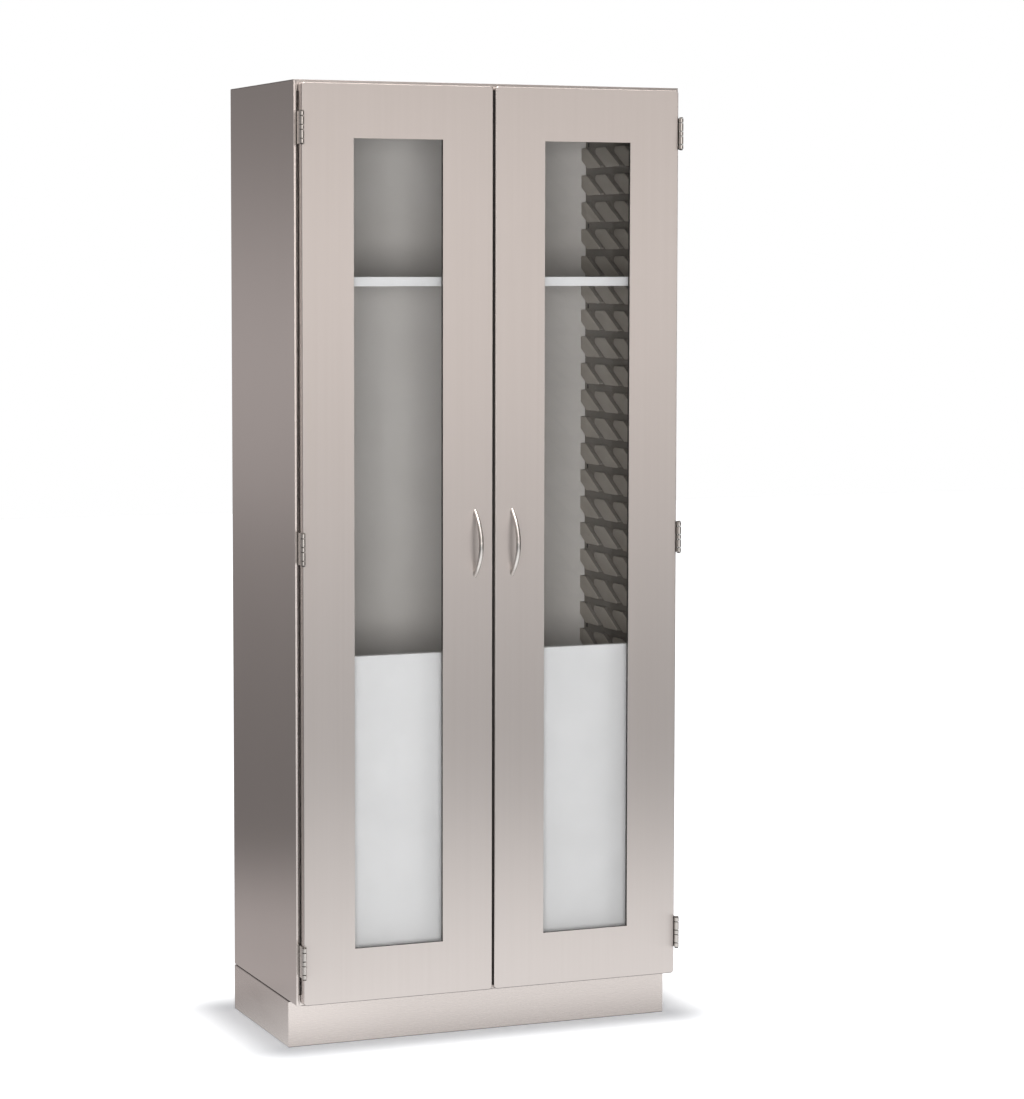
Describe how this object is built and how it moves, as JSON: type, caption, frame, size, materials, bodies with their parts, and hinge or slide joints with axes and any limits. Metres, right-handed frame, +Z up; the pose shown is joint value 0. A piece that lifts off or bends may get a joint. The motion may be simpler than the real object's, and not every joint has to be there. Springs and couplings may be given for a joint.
{
  "type": "glass door medical cabinet",
  "caption": "Tall stainless steel medical cabinet with hinged glass-window doors, bow handles, moulded shelf liners inside and a recessed plinth.",
  "frame": {"origin": "on the floor, in the middle of the footprint that body, doors and handles cover together", "axes": "+X to the right seen from the front, +Y to the back, +Z up; the doors face -Y"},
  "size_m": [0.9144, 0.5235, 2.1336],
  "materials": {
    "brushed_steel": "fine vertical brushed grain, satin",
    "satin_steel": "satin, brighter than the sheet",
    "white_paint": "smooth white powder coat",
    "grey_paint": "smooth pale grey powder coat",
    "grey_plastic": "moulded, fine matte",
    "black_rubber": "matte",
    "clear_glass": "clear float glass"
  },
  "bodies": {
    "cabinet_body": {"plinth_front_rail": "brushed_steel", "plinth_back_rail": "brushed_steel", "base_sheet": "brushed_steel", "cabinet_floor": "brushed_steel", "back_panel": "brushed_steel", "back_lining": "grey_paint", "top_panel": "brushed_steel", "shelf": "white_paint", "retaining_panel": "white_paint", "left_plinth_rail": "brushed_steel", "right_plinth_rail": "brushed_steel", "left_side_panel": "brushed_steel", "right_side_panel": "brushed_steel", "left_inner_wall": "brushed_steel", "right_inner_wall": "brushed_steel", "left_liner": "grey_plastic", "right_liner": "grey_plastic", "left_catch": "white_paint", "right_catch": "white_paint", "left_upper_bumper": "black_rubber", "right_upper_bumper": "black_rubber", "left_lower_bumper": "black_rubber", "right_lower_bumper": "black_rubber", "left_top_frame_leaf": "satin_steel", "right_top_frame_leaf": "satin_steel", "left_middle_frame_leaf": "satin_steel", "right_middle_frame_leaf": "satin_steel", "left_bottom_frame_leaf": "satin_steel", "right_bottom_frame_leaf": "satin_steel", "left_top_hinge_pin": "satin_steel", "right_top_hinge_pin": "satin_steel", "left_middle_hinge_pin": "satin_steel", "right_middle_hinge_pin": "satin_steel", "left_bottom_hinge_pin": "satin_steel", "right_bottom_hinge_pin": "satin_steel"},
    "left_door": {"left_door_skin": "brushed_steel", "left_door_inner_panel": "brushed_steel", "left_door_gasket": "black_rubber", "left_door_glass": "clear_glass", "left_door_handle": "satin_steel", "left_handle_upper_screw": "satin_steel", "left_handle_lower_screw": "satin_steel", "left_door_strike": "satin_steel", "left_door_meeting_seal": "black_rubber", "left_top_door_leaf": "satin_steel", "left_middle_door_leaf": "satin_steel", "left_bottom_door_leaf": "satin_steel"},
    "right_door": {"right_door_skin": "brushed_steel", "right_door_inner_panel": "brushed_steel", "right_door_gasket": "black_rubber", "right_door_glass": "clear_glass", "right_door_handle": "satin_steel", "right_handle_upper_screw": "satin_steel", "right_handle_lower_screw": "satin_steel", "right_door_strike": "satin_steel", "right_door_meeting_seal": "black_rubber", "right_top_door_leaf": "satin_steel", "right_middle_door_leaf": "satin_steel", "right_bottom_door_leaf": "satin_steel"}
  },
  "joints": [
    {"name": "left_door_hinge", "type": "hinge", "parent": "cabinet_body", "child": "left_door", "pos_m": [-0.4494, -0.22965, 1.118], "axis": [0, 0, -1], "range_deg": [0, 180]},
    {"name": "right_door_hinge", "type": "hinge", "parent": "cabinet_body", "child": "right_door", "pos_m": [0.4494, -0.22965, 1.118], "axis": [0, 0, 1], "range_deg": [0, 180]}
  ]
}
